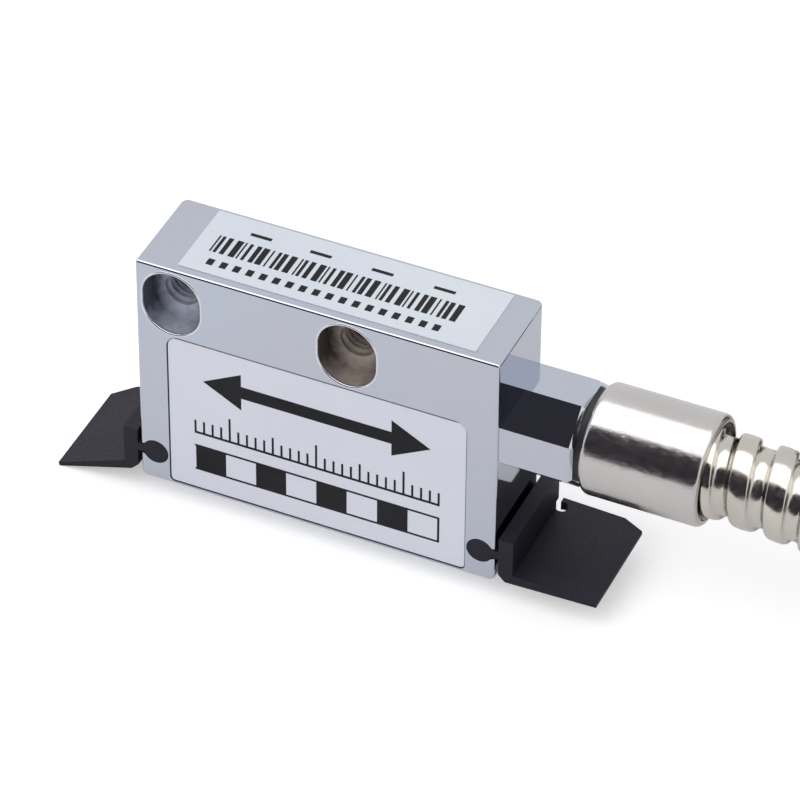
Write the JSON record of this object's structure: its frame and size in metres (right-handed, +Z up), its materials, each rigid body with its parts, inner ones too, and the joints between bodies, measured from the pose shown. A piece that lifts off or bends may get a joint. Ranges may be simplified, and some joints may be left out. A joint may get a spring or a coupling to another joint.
{
  "type": "magnetic linear encoder",
  "caption": "Plated read head of a magnetic linear encoder with rubber end wipers, recessed screw holes, armoured lead in a coil and a D-shaped plug with thumbscrews.",
  "frame": {"origin": "centre of the sensing face, the flat base of the head that runs over the magnetic scale", "axes": "+X along the travel direction towards the lead, +Y from the front plate to the back face, +Z up"},
  "size_m": [0.2206, 0.149, 0.0451],
  "materials": {
    "plated_housing": "polished",
    "printed_plate": "satin",
    "label_film": "satin",
    "wiper_rubber": "matte",
    "circuit_board": "satin",
    "chip_plastic": "matte",
    "capacitor_ceramic": "satin",
    "contact_brass": "polished",
    "potting": "satin",
    "core_insulation": "satin",
    "cable_jacket": "matte",
    "seal_rubber": "matte",
    "nickel_ferrule": "polished",
    "hose_steel": "polished",
    "strap_fabric": "matte",
    "hood_metal": "satin",
    "tinned_steel": "satin",
    "insert_plastic": "matte",
    "screw_steel": "satin"
  },
  "bodies": {
    "head": {"housing": "plated_housing", "front_plate": "printed_plate", "top_label": "label_film", "main_board": "circuit_board", "sensor_board": "circuit_board", "sensor_chip": "chip_plastic", "interpolator_chip": "chip_plastic", "driver_chip": "chip_plastic", "capacitors": "capacitor_ceramic", "board_header": "contact_brass", "potting_resin": "potting", "cable_cores": "core_insulation", "inner_cable": "cable_jacket", "cable_stub": "plated_housing", "stub_seal": "seal_rubber", "hose_ferrule": "nickel_ferrule", "hose_lead": "hose_steel", "hose_coil": "hose_steel", "hose_tail": "hose_steel", "coil_straps": "strap_fabric", "plug_ferrule": "nickel_ferrule", "plug_cable": "cable_jacket", "plug_cores": "core_insulation", "plug_hood_upper": "hood_metal", "plug_hood_lower": "hood_metal", "hood_screws": "screw_steel", "plug_shell": "tinned_steel", "plug_insulator": "insert_plastic", "plug_pins": "contact_brass"},
    "wiper_left": {"wiper_left": "wiper_rubber"},
    "wiper_right": {"wiper_right": "wiper_rubber"},
    "thumbscrew_near": {"thumbscrew_near": "screw_steel"},
    "thumbscrew_far": {"thumbscrew_far": "screw_steel"}
  },
  "joints": [
    {"name": "wiper_left_flex", "type": "hinge", "parent": "head", "child": "wiper_left", "pos_m": [-0.01875, 0, 0.00375], "axis": [0, 1, 0], "range_deg": [-4, 4], "stiffness_Nm_per_rad": 0.2},
    {"name": "wiper_right_flex", "type": "hinge", "parent": "head", "child": "wiper_right", "pos_m": [0.01875, 0, 0.00375], "axis": [0, 1, 0], "range_deg": [-4, 4], "stiffness_Nm_per_rad": 0.2},
    {"name": "thumbscrew_near_turn", "type": "hinge", "parent": "head", "child": "thumbscrew_near", "pos_m": [0.154, 0.104, 0.03475], "axis": [0, 1, 0], "continuous": true},
    {"name": "thumbscrew_far_turn", "type": "hinge", "parent": "head", "child": "thumbscrew_far", "pos_m": [0.179, 0.104, 0.03475], "axis": [0, 1, 0], "continuous": true}
  ]
}
